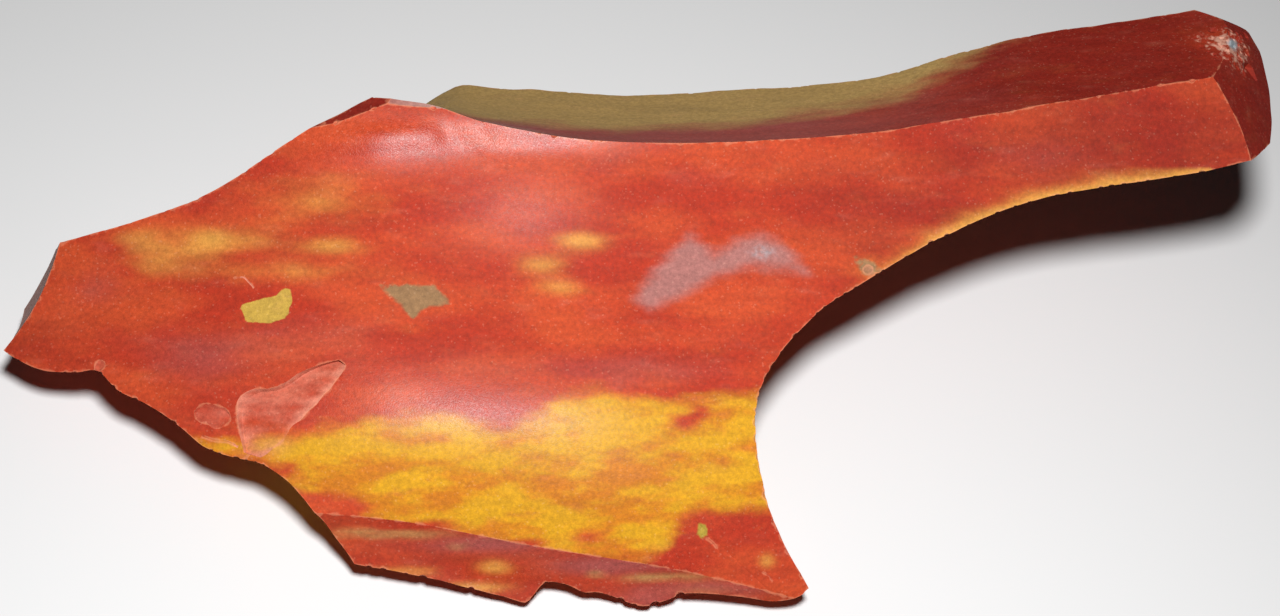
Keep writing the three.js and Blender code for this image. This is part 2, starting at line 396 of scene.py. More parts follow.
strike_off(stone, broad_scar("main face", MAIN, main_face, ALONG, (-32, 35), main_relief))
strike_off(stone, broad_scar("lower strip", STRIP, lower_strip, (-40, 26), (-32, -14), satin))
strike_off(stone, back_scar("back face", BACK, back_face, ALONG, (-6, 32), plain_break))
strike_off(stone, broad_scar("rear", REAR, rear, ALONG, (-2, 40), coarse_break, out=-REACH))
strike_off(stone, under_scar("base", lambda x, y: 0, lambda at: 0, BASE_GRID))
for side, height in [
    ("left", under_left), ("front", under_front), ("right", under_right), ("back", under_back),
]:
    strike_off(stone, under_scar("underside " + side, height, coarse_break))
print("after the broad scars:", len(stone.data.polygons), "faces")

# %% [markdown]
# ## The walls that make the outline
#
# Five long flakes gave the stone its outline. Each wall follows a curved edge drawn on the main face
# and leans as it runs back into the stone. The edge is a spline through measured points, walked at
# equal steps, and the sheet is extruded sideways, out of the stone. The wall of the bay is the most
# torn of them, and its rim keeps many fine hackles.

# %% Cut the walls
WALL_FRONT = 8
WALL_BACK = 32
WALK_FINELY = 40
flank_edge = [
    (-64, 3.6), (-59.4, 5.4), (-56.8, 6.2), (-53, 7.1), (-47.6, 8.6), (-42.4, 10.4), (-38.2, 12.6),
    (-34, 15.2), (-31, 17), (-27.4, 19.1), (-24.4, 20.9), (-21, 22.9), (-13, 27),
]
left_end_edge = [
    (-44, 34), (-55, 12), (-57.2, 8.2), (-59, 5.7), (-61.2, 2.9), (-63.2, -0.2), (-64.4, -1.8),
    (-64.2, -3.4), (-62.6, -6), (-58, -14), (-48, -40),
]
lower_left_edge = [
    (-68, 1.4), (-64.4, -2.4), (-61.4, -4.6), (-59.4, -5.4), (-56.6, -6), (-53.4, -5.9), (-51, -5.6),
    (-48.4, -7.2), (-45.2, -8.2), (-42, -9.8), (-39.2, -11.6), (-36.2, -12.4), (-33.8, -12.8),
    (-31.4, -14), (-30, -15.2), (-28, -17.7), (-26.8, -20.2), (-25.2, -23), (-22, -29),
]
bottom_edge = [
    (-34, -18.2), (-26.2, -20.4), (-22, -21.4), (-16.4, -23.4), (-12.8, -24.8), (-10.6, -25.7),
    (-9.7, -25), (-8.6, -23.8), (-6.8, -24), (-5, -25), (-3.4, -25.2), (0.2, -27), (2.6, -26.6),
    (4.8, -25.8), (9.6, -26.4), (12.8, -27.2), (15.2, -26.4), (16.4, -25), (24, -17),
]
bay_edge = [
    (69, 13.2), (61.8, 12.2), (55.8, 11.1), (50.8, 10.5), (45.8, 9.9), (40.6, 9.2), (35.6, 8), (30.6, 6.1),
    (26.4, 4.3), (22.4, 2.3), (18.2, 0), (15, -2.4), (12.6, -4.6), (11.1, -6.6), (10.4, -8.7),
    (10.2, -11.2), (10.5, -14), (11.1, -16.8), (12.2, -19.6), (13.4, -22), (14.6, -24.2),
    (17.4, -28.8),
]


def spline(points, share):
    """The point at share of the way along a Catmull-Rom spline through the points."""
    last = len(points) - 1
    step = min(int(share * last), last - 1)
    t = share * last - step
    before, here, there, after = (Vector(points[min(max(step + i, 0), last)]) for i in (-1, 0, 1, 2))
    start, end = (there - before) / 2, (after - here) / 2
    cubic = (here - there) * 2 + start + end
    square = (there - here) * 3 - start * 2 - end
    return cubic * t ** 3 + square * t ** 2 + start * t + here


def walk(points, step):
    """Points at equal steps along the spline."""
    parts = WALK_FINELY * len(points)
    fine = [spline(points, i / parts) for i in range(parts + 1)]
    lengths = [0.0]
    for a, b in zip(fine, fine[1:]):
        lengths.append(lengths[-1] + (b - a).length)
    count = ceil(lengths[-1] / step)
    walked = []
    for i in range(count + 1):
        target = lengths[-1] * i / count
        k = min(bisect_right(lengths, target), len(fine) - 1)
        t = (target - lengths[k - 1]) / (lengths[k] - lengths[k - 1])
        walked.append(fine[k - 1].lerp(fine[k], t))
    return walked


def wall(name, number, edge, outside, lean, curl):
    """A scar that runs back from an edge, with its lean per mm of depth and the curl of that lean."""
    walked = walk(edge, GRID)
    depths = (-WALL_FRONT, WALL_BACK)

    def place(u, v):
        x, y = walked[round(u * (len(walked) - 1))]
        back = between(depths, v)
        behind = max(back, 0) ** 2
        return Vector((x + lean[0] * back + curl * behind, y + lean[1] * back, -back))

    sheet = lay_sheet(name, len(walked) - 1, steps(depths, GRID), place)
    roughen(sheet, plain_break)
    return close_block(sheet, (*outside, 0), number)


for name, number, edge, outside, lean, curl in [
    ("flank", FLANK, flank_edge, (-60, 60), (0.38, 0.05), -0.011),
    ("left end", LEFT_END, left_end_edge, (-90, 0), (0.25, 0), 0),
    ("lower left", LOWER_LEFT, lower_left_edge, (-30, -60), (0.3, 0.35), 0),
    ("bottom", BOTTOM, bottom_edge, (0, -60), (0.1, 0.9), 0),
    ("bay", BAY, bay_edge, (60, -90), (-0.25, 0.39), 0),
]:
    strike_off(stone, wall(name, number, edge, outside, lean, curl))
print("after the walls:", len(stone.data.polygons), "faces")

# %% [markdown]
# ## Small facets and chips
#
# Where the stone was dropped or struck lightly it lost small facets at its corners and thin chips
# along its edges. A facet is a sheet with a slight bowl or bulge, turned to face outwards at one
# corner. Each of the two chips near the lower left edge starts with a steep step and thins out to
# nothing, as the flake that came off it did. A dent is a tiny facet in the main face, and a scratch is
# a narrow groove along a line on it. Each is cut like the big scars, so its rim is truly sharp.

# %% Cut the facets and chips
CHIP_STEPS = (56, 24)
CHIP_RIM = 0.04
CHIP_THINNING = 0.7
SCRATCH_STEPS = (24, 2)
SCRATCH_RIM = 0.03
SCRATCH_DEPTH = 0.08
DENT_SPREAD = 1.7


def facet(name, number, at, facing, hollow, size, relief=plain_break, grid=GRID):
    """A bowl of radius hollow, or a bulge where that is below 0, that faces out at one place."""
    turn = Vector((0, 0, 1)).rotation_difference(Vector(facing).normalized())

    def place(u, v):
        x, y = between((-size, size), u), between((-size, size), v)
        return Vector(at) + turn @ Vector((x, y, (x * x + y * y) / (2 * hollow)))

    sheet = lay_sheet(name, steps((-size, size), grid), steps((-size, size), grid), place)
    roughen(sheet, relief)
    return close_block(sheet, turn @ Vector((0, 0, REACH)), number)


def dent(name, x, y, radius, depth):
    """A shallow round scar in the main face."""
    fall_x = main_face(x - 0.5, y) - main_face(x + 0.5, y)
    fall_y = main_face(x, y - 0.5) - main_face(x, y + 0.5)
    hollow = radius ** 2 / (2 * depth)

    def torn(at):
        return main_relief(at) + wave(at, 0.9, 0.5 * depth, x)

    return facet(name, CHIP, (x, y, main_face(x, y) - depth), (fall_x, fall_y, 1), hollow,
                 radius * DENT_SPREAD, torn, radius / 6)


def chip(name, stepped_edge, thin_edge, depth, lip):
    """A flake scar in the main face, with a step along one edge, thinning out towards the other."""
    struck = (*stepped_edge[0], 0)

    def place(u, v):
        x, y = spline(stepped_edge, u).lerp(spline(thin_edge, u), v)
        down = depth * min(v / lip, 1) * (1 - v) ** CHIP_THINNING
        return Vector((x, y, main_face(x, y) + CHIP_RIM - down))

    def torn(at):
        return main_relief(at) + ripples(at, struck, spacing=1.5, height=0.035, fade=8)

    sheet = lay_sheet(name, *CHIP_STEPS, place)
    roughen(sheet, torn)
    return close_block(sheet, (0, 0, 3), CHIP)


def scratch(name, line, width, number):
    """A thin groove along a line in the main face."""
    def place(u, v):
        ahead, behind = spline(line, min(u + 0.05, 1)), spline(line, max(u - 0.05, 0))
        side = (ahead - behind).orthogonal().normalized()
        x, y = spline(line, u) + side * width * (v - 0.5)
        return Vector((x, y, main_face(x, y) + SCRATCH_RIM - SCRATCH_DEPTH * (1 - abs(2 * v - 1))))

    sheet = lay_sheet(name, *SCRATCH_STEPS, place)
    roughen(sheet, main_relief)
    return close_block(sheet, (0, 0, 1), number)


for name, number, at, facing, hollow, size in [
    ("peak facet", PEAK, (-27.4, 18.2, 0.6), (-0.21, 0.69, 0.69), 300, 12),
    ("peak shoulder", BACK, (-20.5, 18.65, 0.6), (0.1, 0.59, 0.8), 300, 9),
    ("left end facet", LEFT_FACET, (-57.85, 0.85, -2.7), (-0.868, 0.443, 0.225), 25, 14),
    ("arm end facet", ARM_END, (61.3, 22.3, -10.6), (0.685, 0.347, 0.641), -60, 22),
    ("arm corner", CRUSHED, (60.15, 26.7, -11.85), (0.512, 0.631, 0.582), -60, 16),
    ("arm tip", ARM_END, (62.9, 18.9, -13.5), (0.96, -0.22, -0.15), -40, 10),
    ("arm end top", ARM_TOP, (58.3, 30.1, -15.9), (0.31, 0.93, 0.2), -30, 9),
    ("foot facet", FOOT_FACET, (0.6, -27.6, 1.54), (0, -0.5, 0.86), 12, 5),
]:
    strike_off(stone, facet(name, number, at, facing, hollow, size))
strike_off(stone, chip(
    "long chip",
    [(-36.8, -13.4), (-37.5, -10.6), (-37.6, -8.6), (-36.3, -7.5), (-34.4, -7.4), (-33, -6.8),
     (-31.6, -5.9), (-29.8, -5.2), (-28.1, -4.8)],
    [(-35, -13.9), (-34, -13.6), (-32.4, -12.3), (-31.1, -10.9), (-29.8, -9.5), (-28.7, -8.2),
     (-28.1, -7.2), (-27.6, -6.2), (-27.3, -5.4)],
    depth=0.75, lip=0.14))
strike_off(stone, chip(
    "small chip",
    [(-41.6, -9.6), (-40.8, -8.9), (-39.7, -8.8), (-38.6, -9.2), (-38.1, -9.9)],
    [(-41.4, -10.4), (-40.7, -11.2), (-39.6, -11.7), (-38.6, -11.5), (-38.1, -10.9)],
    depth=0.35, lip=0.2))
strike_off(stone, dent("left dent", -51.1, -5.5, radius=0.6, depth=0.14))
strike_off(stone, dent("bay dent", 21.8, 3.6, radius=0.5, depth=0.08))
for name, line, width, number in [
    ("groove", [(4.9, -19.6), (7.6, -22.3), (10.5, -25.1), (13, -27.4)], 0.45, MAIN),
    ("scratch by patch", [(-38.4, 2.8), (-37.5, 2.9), (-37, 2.5), (-36.4, 1.9)], 0.25, CHIP),
    ("scratch by chip", [(-40.8, -11.9), (-39.6, -12.3), (-38.4, -12.4), (-37.3, -12.9)], 0.3, CHIP),
    ("scratch at foot", [(6.3, -21.6), (6.8, -22), (7.2, -22.5)], 0.22, CHIP),
    ("scratch at tip", [(11.6, -24.9), (12.1, -25.2), (12.5, -25.7)], 0.2, CHIP),
]:
    strike_off(stone, scratch(name, line, width, number))
print("after the facets and chips:", len(stone.data.polygons), "faces")

# %% [markdown]
# ## Nicks along the edges
#
# Sharp edges of such a stone never stay whole: each knock takes off a crumb. The rim of the bay is
# torn into fine hackles, the end of the arm was crushed by a blow, and the other ridges keep a nick
# here and there. Small faceted spheres are strewn along the edges where two scars meet, and all over
# the crushed end. Each set is joined to one object and cut off at once, and a fixed seed makes the
# strewing the same on each run.

# %% Strew the nicks
APART = 1.25
SQUASH = (0.75, 1.25)


def border(one, others):
    """Points, with their normals, where a face of one scar meets a face of the others."""
    numbers = [item.value for item in stone.data.attributes[SCAR].data]
    touching = [set() for _ in stone.data.vertices]
    for polygon, number in zip(stone.data.polygons, numbers):
        for index in polygon.vertices:
            touching[index].add(number)
    return [
        (vertex.co.copy(), vertex.normal.copy())
        for vertex, meets in zip(stone.data.vertices, touching) if one in meets and meets & others
    ]


def strew(name, number, spots, count, radii, bite, seed, facets=2):
    """Cuts up to count faceted hollows at random spots, none of which touches another.

    Each hollow has a radius between the two radii, and bite of that radius goes into the stone.
    """
    draw = Random(seed)
    picks = []
    for at, out in draw.sample(spots, len(spots)):
        radius = draw.uniform(*radii)
        centre = at + out * radius * (1 - bite)
        if all((centre - other).length > APART * (radius + size) for other, size in picks):
            picks.append((centre, radius))
        if len(picks) == count:
            break
    deselect()
    balls = []
    for centre, radius in picks:
        bpy.ops.mesh.primitive_ico_sphere_add(
            subdivisions=facets, radius=radius, location=centre,
            rotation=[draw.uniform(0, 2 * pi) for _ in range(3)],
            scale=[draw.uniform(*SQUASH) for _ in range(3)])
        balls.append(bpy.context.object)
    deselect()
    for ball in balls:
        ball.select_set(True)
    bpy.ops.object.join()
    bpy.ops.object.transform_apply(location=True, rotation=True, scale=True)
    cutter = bpy.context.object
    cutter.name = name
    number_faces(cutter, number)
    strike_off(stone, cutter)
    print(name, len(picks))


END_STRUCK = Vector((59.1, 26.2, -11))
END_RIM = 5
END_CRUSHED = 3.4
HACKLES_FROM, HACKLES_TO = -23, -5
walls = {LOWER_LEFT, BAY, FLANK, LEFT_END}
bay_rim = [(at, out) for at, out in border(MAIN, {BAY}) if HACKLES_FROM < at.y < HACKLES_TO]
long_rim = border(MAIN, {BAY, LOWER_LEFT, LEFT_FACET, FLANK})
foot_rim = border(STRIP, {BOTTOM})
top_rim = border(MAIN, {BACK, PEAK}) + border(BACK, {PEAK, REAR, FLANK})
end_rim = [
    (at, out) for at, out in border(CRUSHED, {MAIN, BACK, ARM_END, ARM_TOP})
    if (at - END_STRUCK).length < END_RIM
]
crushed = [
    (vertex.co.copy(), vertex.normal.copy()) for vertex in stone.data.vertices
    if (vertex.co - END_STRUCK).length < END_CRUSHED
]
strew("crushed end", CRUSHED, crushed, 8, (1.2, 2), bite=0.4, seed=21, facets=1)
strew("crushed rim", CRUSHED, end_rim, 12, (0.8, 1.5), bite=0.45, seed=22, facets=1)
strew("crushed pits", CRUSHED, crushed, 40, (0.4, 0.9), bite=0.5, seed=23, facets=1)
strew("crushed grit", CRUSHED, crushed, 70, (0.22, 0.45), bite=0.5, seed=24, facets=1)
strew("bay hackles", NICK, bay_rim, 60, (0.3, 0.6), bite=0.4, seed=5)
strew("rim nicks", NICK, long_rim, 70, (0.2, 0.45), bite=0.4, seed=6)
strew("foot nicks", NICK, foot_rim, 10, (0.25, 0.6), bite=0.35, seed=7)
strew("ridge nicks", NICK, top_rim, 60, (0.2, 0.42), bite=0.35, seed=8)
back_rim = border(REAR, {UNDER, BAY, LOWER_LEFT}) + border(UNDER, walls)
strew("back nicks", NICK, back_rim, 60, (0.3, 0.9), bite=0.4, seed=9)
print("after the nicks:", len(stone.data.polygons), "faces")

# %% [markdown]
# ## Set the stone down
#
# The stone was carved in the frame of its own face. Now the face is leaned back and the arm tipped up
# a little, the millimetres become metres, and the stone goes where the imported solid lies: its box is
# centred over the same point and its base stays on the table. The move is applied to the mesh, so the
# object itself sits at the origin, unturned. Points of a cut that all but coincide are merged, and a
# wave that would stand out past the box of the solid is trimmed to it.

# %% Place it in the frame
MERGE = 0.008 * MM
leaned = Matrix.Rotation(-ARM_UP, 4, "Y") @ Matrix.Rotation(LEAN_BACK, 4, "X")
raised = Matrix.Translation((0, 0, BASE_DROP)) @ leaned
corners = np.array([raised @ vertex.co for vertex in stone.data.vertices])
middle = (corners.min(0) + corners.max(0)) / 2
aim = (cad_low + cad_high) / (2 * MM)
centring = Vector((aim.x - middle[0], aim.y - middle[1], 0))
face_to_row = Matrix.Scale(MM, 4) @ Matrix.Translation(centring) @ raised
stone.matrix_world = face_to_row
deselect()
stone.select_set(True)
bpy.context.view_layer.objects.active = stone
bpy.ops.object.transform_apply(location=True, rotation=True, scale=True)
bpy.ops.object.mode_set(mode="EDIT")
bpy.ops.mesh.select_all(action="SELECT")
bpy.ops.mesh.remove_doubles(threshold=MERGE)
bpy.ops.object.mode_set(mode="OBJECT")
for vertex in stone.data.vertices:
    vertex.co = [min(max(value, low), high) for value, low, high in zip(vertex.co, cad_low, cad_high)]
print("stone:", len(stone.data.polygons), "faces, moved by", [round(way, 2) for way in centring])

# %% [markdown]
# ## Smooth breaks, sharp ridges
#
# Each scar is smooth in itself and meets its neighbour in a crisp ridge, so the shading must follow:
# smooth across a scar, split where the angle is large. Smoothing by angle does just that.

# %% Shading
SHARP = radians(24)
bpy.ops.object.shade_smooth_by_angle(angle=SHARP, keep_sharp_edges=False)
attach(stone, "root")
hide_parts(NODE)

# %% [markdown]
# ## The points as numbers
#
# From here on the colours are worked out, and that is quicker for all points at once. The corners of
# the mesh are read into plain number arrays, in the frame of the face and in millimetres again.

# %% Read the mesh
to_face = np.array(face_to_row.inverted())
count = len(stone.data.vertices)
flat = np.empty(3 * count)
stone.data.vertices.foreach_get("co", flat)
points = flat.reshape(count, 3) @ to_face[:3, :3].T + to_face[:3, 3]
corner_point = np.empty(len(stone.data.loops), int)
stone.data.loops.foreach_get("vertex_index", corner_point)
sides = np.empty(len(stone.data.polygons), int)
stone.data.polygons.foreach_get("loop_total", sides)
face_scar = np.empty(len(stone.data.polygons), int)
stone.data.attributes[SCAR].data.foreach_get("value", face_scar)
scar = np.repeat(face_scar, sides)
x, y, z = points[corner_point].T
print("corners:", len(x))

# %% [markdown]
# ## Distance to the edges
#
# Thin edges carry fine crumbs and let light through, so each is given a narrow pale line, partly wear and
# partly a painted glint of light. The material needs to know how far every point is from the nearest
# edge. A search tree is filled with the points of all edges where two scars meet, and each corner asks
# it for the nearest one.

# %% Edge distance
ends = np.empty(2 * len(stone.data.edges), int)
stone.data.edges.foreach_get("vertices", ends)
ends = ends.reshape(-1, 2)
edge_of_corner = np.empty(len(stone.data.loops), int)
stone.data.loops.foreach_get("edge_index", edge_of_corner)
lowest = np.full(len(ends), CRUSHED)
highest = np.zeros(len(ends), int)
np.minimum.at(lowest, edge_of_corner, scar)
np.maximum.at(highest, edge_of_corner, scar)
crumbled = (highest == CRUSHED) & (lowest != MAIN)
rim = ends[(lowest != highest) & ~crumbled]
rim_starts, rim_ends = points[rim[:, 0]], points[rim[:, 1]]
rim_points = np.vstack([rim_starts, rim_ends, (rim_starts + rim_ends) / 2])
edge_tree = kdtree.KDTree(len(rim_points))
for index, point in enumerate(rim_points):
    edge_tree.insert(point, index)
edge_tree.balance()
away = np.array([edge_tree.find(point)[2] for point in points])[corner_point]
print("edge points:", len(rim_points))

# %% [markdown]
# ## Where the colours lie
#
# The colours of jasper are minerals laid down in layers and clouds: red and brown iron oxide, yellow
# ochre, olive and mauve-grey clay. On this stone a broad ochre band crosses the foot of the main
# face, soft yellow clouds float above it, and a few small patches have sharp outlines. Each field is
# stored on the mesh as one number per corner: millimetres inside an outline, or a share of about 0 to
# 1. The material turns them into colour later and makes their edges ragged. Painting them by hand on a
# texture would need an image; numbers on the mesh need none and keep their place on the stone.

# %% Helpers for the fields
FAR = 9.0


def on(*numbers):
    return np.isin(scar, numbers)


def keep(name, values):
    """Stores one number for each corner of the mesh."""
    field = stone.data.attributes.new(name, "FLOAT", "CORNER")
    field.data.foreach_set("value", np.asarray(values, dtype=np.float32))


def clouds(spots):
    """Sum of soft spots, each given by its middle, its two half sizes and its strength."""
    total = np.zeros_like(x)
    for middle_x, middle_y, half_x, half_y, strength in spots:
        total += strength * np.exp(-((x - middle_x) / half_x) ** 2 - ((y - middle_y) / half_y) ** 2)
    return total


def patch(outline):
    """Distance to the outline in mm, positive inside it."""
    nearest = np.full_like(x, FAR)
    within = np.zeros(x.shape, bool)
    for (ax, ay), (bx, by) in zip(outline, outline[1:] + outline[:1]):
        run_x, run_y = bx - ax, by - ay
        share = np.clip(((x - ax) * run_x + (y - ay) * run_y) / (run_x ** 2 + run_y ** 2), 0, 1)
        nearest = np.minimum(nearest, np.hypot(x - ax - share * run_x, y - ay - share * run_y))
        if run_y:
            within ^= ((ay > y) != (by > y)) & (x < ax + (y - ay) * run_x / run_y)
    return np.where(front, np.where(within, nearest, -nearest), -FAR)


def ramp(values, start, end):
    """A share that goes straight from 0 at start to 1 at end."""
    return np.clip((values - start) / (end - start), 0, 1)


front = on(MAIN, CHIP, NICK, CRUSHED)
foot = on(STRIP, FOOT_FACET)
behind = on(BACK)
print("corners in front, on the foot and behind:", front.sum(), foot.sum(), behind.sum())

# %% [markdown]
# ## The ochre band and the clouds
#
# The band is the layer that catches the eye first, so it is drawn by its two edges, and a few soft
# spots bite into it where red runs through. Below the crease the layers go on down the strip. Around
# the band float yellow, mauve and khaki clouds, each a sum of soft round spots: simple to place, and
# the noise in the material takes the roundness away again.

# %% Band and clouds
LAYER_SLANT = 0.2
ARM_RIM_BELOW = 13.5
PAINTED_GLOW_REACH = 0.8
STRUCK_SPREAD = 14
band_top = np.array([
    (-36, -12.4), (-32.9, -12), (-28.3, -11.4), (-25.3, -10.2), (-20.2, -10.4), (-12.6, -10.9),
    (-8.8, -9.4), (-6.2, -7.6), (-3.9, -7.7), (-0.4, -8.7), (4.1, -8.5), (7.7, -8.7), (11, -8.3),
])
band_foot = np.array([
    (-36, -13.5), (-33, -15.2), (-30, -17.4), (-26, -18.9), (-23.5, -20.6), (-12.6, -22.6), (-3.9, -23.4),
    (0, -23.2), (2.2, -22), (4.1, -19.7), (6, -18.4), (7.6, -18.9), (11.8, -19.2),
])
level = np.where(front, y, y + LAYER_SLANT * z)
in_band = np.minimum(np.interp(x, *band_top.T) - level, level - np.interp(x, *band_foot.T))
in_band -= clouds([
    (4.1, -10.8, 1.6, 1.0, 3.2), (5.8, -9.8, 1.1, 0.7, 2.2), (-2.7, -13.2, 0.7, 1, 3),
    (1, -13.1, 0.6, 0.7, 2.6), (-5.2, -21.2, 3, 1, 2.2), (-18.6, -20.3, 3.4, 1.3, 2.4),
    (-28.4, -18, 4, 1.3, 2), (-32, -14.6, 1.6, 0.8, 2), (-11, -22, 3, 0.8, 1.4),
])
keep("ochre", np.where(foot, -FAR, in_band))

foot_clouds = clouds([
    (-13.7, -24.2, 1.8, 0.8, 0.7), (-15.5, -26.2, 3.2, 0.6, 0.8), (-22, -24.6, 3.5, 0.7, 0.6),
    (6, -26.6, 3, 0.5, 0.5),
])
face_clouds = clouds([
    (-48.4, 6.9, 2.6, 1.2, 0.35), (-45.1, 5, 4, 2.2, 0.6), (-41.1, 6.3, 2.2, 1.3, 0.5),
    (-37.3, 6.5, 3.4, 1.2, 0.55), (-28.9, 5.8, 3.2, 0.9, 0.6), (-30.2, 10.2, 6, 2.6, 0.4),
    (-33, 3.4, 7, 1, 0.4), (-5.7, 6.4, 2.6, 1, 0.75), (-9.4, 4, 2.6, 1, 0.65), (-7.5, 2, 2.2, 1, 0.5),
    (11.9, -23.7, 0.9, 0.8, 0.7), (-34, -12.6, 2, 1, 0.8),
])
# The thin rim of the arm, over the bay, is painted with a yellow glow of light shining through it, added to
# the yellow clouds.
painted_glow = np.where(front & (y < ARM_RIM_BELOW), ramp(x, 18, 30) * np.exp(-away / PAINTED_GLOW_REACH), 0)
keep("cloud_and_glow", np.select([foot, ~behind], [foot_clouds, face_clouds], 0) + painted_glow)

face_mauve = clouds([
    (-41, -4.5, 6, 2.4, 0.55), (-30, -2.6, 6, 1.8, 0.4), (-52, 2, 3, 2, 0.35), (-8, -5.4, 9, 1.4, 0.35),
    (2, -6, 7, 1.3, 0.4), (-3, 14.2, 3, 1.4, 0.35), (38, 15, 5, 2, 0.3), (4, 12.6, 2.5, 1, 0.3),
    (7, -15, 2, 1, 0.2),
])
foot_mauve = clouds([
    (-14, -22, 7, 0.9, 0.95), (-3, -24.2, 6, 1, 1), (7, -26.3, 6, 0.9, 0.8), (0.6, -27.6, 4, 1.2, 0.6),
])
back_mauve = 0.9 * ramp(x, 40, 12)
keep("mauve", np.select([front, foot, behind], [face_mauve, foot_mauve, back_mauve], 0))

khaki_from = np.interp(x, (-20, 10, 22, 32, 44, 56), (7.5, 9.5, 11.5, 15, 19.5, 23))
back_khaki = np.clip((-z - khaki_from) / 7 + 0.5, 0, 1)
foot_khaki = clouds([
    (-24, -20.9, 5, 0.6, 0.7), (2, -25.3, 5, 0.6, 0.6), (-17.2, -22.3, 1.2, 0.5, 0.4),
    (-4.3, -25, 1.2, 0.5, 0.4),
])
rear_khaki = clouds([(4, 23, 26, 9, 1)])
keep("khaki", np.select([behind, on(REAR), foot], [back_khaki, rear_khaki, foot_khaki], 0))

# The darkest red fills the arm and the peak. On the end of the arm and on the hidden sides and underside it
# is painted shade, darker where these faces lie in shadow. It pales where the end was struck.
to_struck = (x - END_STRUCK.x) ** 2 + (y - END_STRUCK.y) ** 2 + (z - END_STRUCK.z) ** 2
struck = np.exp(-to_struck / STRUCK_SPREAD)
# Painted shade: the hidden sides and the underside are darkened, less so within the ochre band.
painted_side_shade = 0.35 + clouds([(-45, 5, 12, 6, 0.35), (12, 4, 18, 8, 0.3), (-15, -14, 14, 4, 0.2)])
painted_side_shade *= np.clip(0.6 - in_band / 2, 0, 1)
back_deep = np.clip((x - 2) / 38, 0, 0.9)
face_deep = clouds([(48, 16, 24, 9, 0.65), (24, 8, 10, 5, 0.4), (-57, -3, 6, 3, 0.45)])
sides = on(REAR, UNDER, LOWER_LEFT, BAY, FLANK)
keep("deep_red_and_shade", np.select(
    [on(ARM_END, ARM_TOP, CRUSHED), on(PEAK), behind, sides, foot],
    [1, 0.9, back_deep, painted_side_shade, 0.4], face_deep) - 0.55 * struck)
print("inside the band:", (in_band > 0).sum(), "corners")

# %% [markdown]
# ## Sharp patches and small marks
#
# Some minerals fill old cracks and hollows with a sharp border. Such a patch is drawn by its outline,
# and the field is the distance to it, so the material can lay it down crisply. The other marks are the
# frosted chips, the satin gloss, the crushed end, the blue-grey specks of quartz, and the pale slivers
# on the shoulder of the peak and at the left end; the one at the left end is painted bounce light, pale
# as if lit by light thrown back from the table.

# %% Patches and marks
keep("tan", patch([
    (-37.7, 0.2), (-36, 0.8), (-34.2, 1.2), (-33.6, 2), (-32.8, 1.6), (-32.8, 0.3), (-33.1, -0.9),
    (-34.8, -1.4), (-37, -1.3),
]))
keep("grey", np.maximum(patch([
    (-24.5, 2.2), (-19.5, 2.2), (-17.9, 0.5), (-20.3, -0.1), (-21.2, -1), (-21.9, -0.4),
]), patch([(20.3, 4.9), (22.4, 4.4), (23.2, 3.5), (21.6, 3.1)])))
keep("lavender", patch([
    (4.7, 6.9), (3.7, 5.6), (0.3, 2), (-0.2, 1), (0.8, 0.1), (2.5, 0.8), (7.3, 3.2), (10.8, 4.2),
    (15.7, 3.6), (13.4, 6), (11.5, 6.9), (9.1, 6), (7.1, 4.6),
]))
keep("olive", patch([(5.5, -20.1), (6.2, -20.2), (6.4, -21.2), (5.8, -21.6), (5.4, -21.2)]))
keep("edge", away)
long_chip = on(CHIP) & (x > -37.8) & (x < -26)
chip_frost = 0.45 + 0.45 * np.exp(-away / 0.6) - clouds([(-33.4, -12.2, 2.2, 1.6, 0.4)])
keep("frost", np.select([long_chip, on(CHIP, NICK)], [chip_frost, 0.35], 0))
face_satin = clouds([
    (-18, -10.2, 15, 3.6, 0.85), (-6, -9.6, 8, 3, 0.2), (-9, 16.6, 12, 2.2, 1.1), (-25, 15.6, 9, 3, 1),
    (-11, 9, 8, 5, 0.7), (-4, -15, 9, 4, 0.5), (-40, 12, 9, 3, 0.3), (-24, -6.5, 12, 3, 0.4),
])
foot_satin = clouds([(-14, -25, 5, 1.6, 1)])
keep("satin", np.select([front, foot], [face_satin, foot_satin], 0.1))
keep("crushed", struck)
blue_lobe = np.where(front, clouds([(11.8, 5.3, 2.2, 1.1, 0.42)]), 0)
keep("speck", np.exp(-((x - 59.4) ** 2 + (y - 26.4) ** 2) / 0.5) + blue_lobe)
shoulder = np.exp(-((x + 17) / 8) ** 2 - ((z + 0.5) / 5) ** 2)
# The left end facet is painted pale as bounce light from the table would light it; the shoulder gets a pale
# sliver.
keep("sliver_and_bounce_light", np.select([on(LEFT_FACET), behind], [1, shoulder], 0))
print("fields:", [item.name for item in stone.data.attributes if item.domain == "CORNER"])

# %% [markdown]
# ## Node groups
#
# Three effects are node groups, which can be tried and tuned one by one. The first lays a stain over a
# colour where a field is positive, with a ragged rim made by noise, and comes back for every mineral.
# The second is the grain of the break: fine quartz crystals, of which a few show as light flecks that
# also serve as painted glints. The third is the pale line along an edge, partly wear and partly a
# painted glint of light. All of them work in millimetres in the frame of the face.

# %% Node helpers
def add(tree, kind, inputs=None, **settings):
    """A new node with its settings, and its inputs linked or set."""
    made = tree.nodes.new(kind)
    for key, value in settings.items():
        setattr(made, key, value)
    for key, value in (inputs or {}).items():
        if isinstance(value, bpy.types.NodeSocket):
            tree.links.new(value, made.inputs[key])
        else:
            made.inputs[key].default_value = value
    return made


def mixed(tree, share, under, over, blend="MIX"):
    """Two colours mixed by a share, through the colour sockets of a Mix node."""
    inputs = {0: share, 6: under, 7: over}
    return add(tree, "ShaderNodeMix", inputs, data_type="RGBA", blend_type=blend).outputs[2]


def calc(tree, operation, *values):
    return add(tree, "ShaderNodeMath", dict(enumerate(values)), operation=operation).outputs[0]


